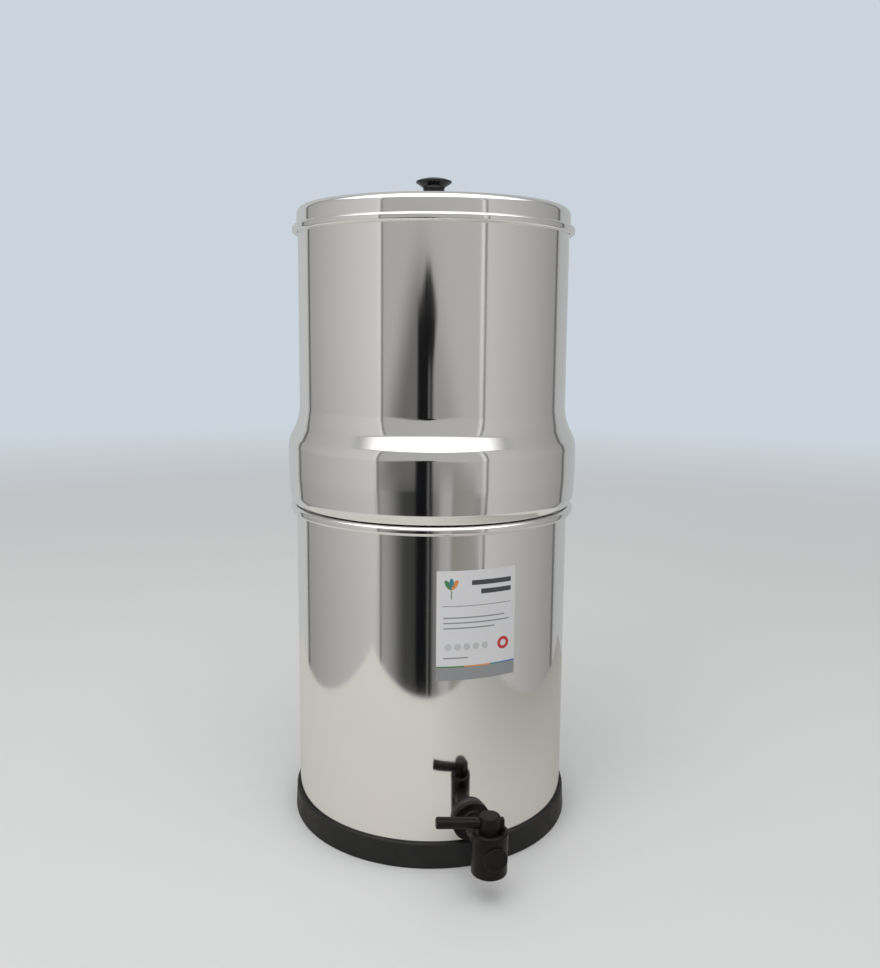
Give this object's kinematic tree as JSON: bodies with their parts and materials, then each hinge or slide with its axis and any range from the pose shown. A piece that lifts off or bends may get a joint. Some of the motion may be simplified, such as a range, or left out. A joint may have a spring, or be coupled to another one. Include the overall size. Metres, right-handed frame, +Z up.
{
  "type": "gravity water filter with tap",
  "caption": "Free-standing gravity water filter: two nested round steel chambers, a lid with a knob, ceramic candles inside and a lever tap at the foot.",
  "frame": {"origin": "the middle of the foot, on the surface that the filter stands on", "axes": "+Z up along the axis of the chambers; the tap faces -Y; +X is to the right for someone who faces the tap"},
  "size_m": [0.2268, 0.2779, 0.5037],
  "materials": {
    "polished_steel": "mirror-polished stainless steel sheet with faint vertical polishing lines",
    "tap_plastic": "black moulded plastic, satin",
    "knob_plastic": "black moulded plastic, glossy",
    "rubber": "black rubber, matt",
    "ceramic": "unglazed off-white ceramic",
    "carbon": "pressed carbon block",
    "white_plastic": "white food-grade plastic",
    "screw_steel": "plain stainless steel"
  },
  "bodies": {
    "lower": {"base_ring": "rubber", "lower_chamber": "polished_steel", "tap_body": "tap_plastic", "tap_inner_washer": "rubber", "tap_lock_nut": "tap_plastic", "tap_outer_washer": "rubber", "valve_retainer": "tap_plastic"},
    "tap_valve": {"tap_lever": "tap_plastic", "valve_plug": "tap_plastic", "valve_seal_lower": "rubber", "valve_seal_upper": "rubber"},
    "upper": {"candle_base_left": "white_plastic", "candle_base_right": "white_plastic", "candle_ceramic_left": "ceramic", "candle_ceramic_right": "ceramic", "candle_core_left": "carbon", "candle_core_right": "carbon", "candle_nut_left": "white_plastic", "candle_nut_right": "white_plastic", "candle_washer_left": "rubber", "candle_washer_right": "rubber", "upper_chamber": "polished_steel"},
    "lid": {"lid": "polished_steel", "lid_knob": "knob_plastic", "lid_screw": "screw_steel", "lid_washer": "screw_steel"}
  },
  "joints": [
    {"name": "upper_lift", "type": "slide", "parent": "lower", "child": "upper", "axis": [0, 0, 1], "range_m": [0, 0.08]},
    {"name": "lid_lift", "type": "slide", "parent": "upper", "child": "lid", "axis": [0, 0, 1], "range_m": [0, 0.05]},
    {"name": "tap_lever_turn", "type": "hinge", "parent": "lower", "child": "tap_valve", "pos_m": [0, -0.1501, 0.0355], "axis": [0, 0, 1], "range_deg": [0, 90]}
  ]
}
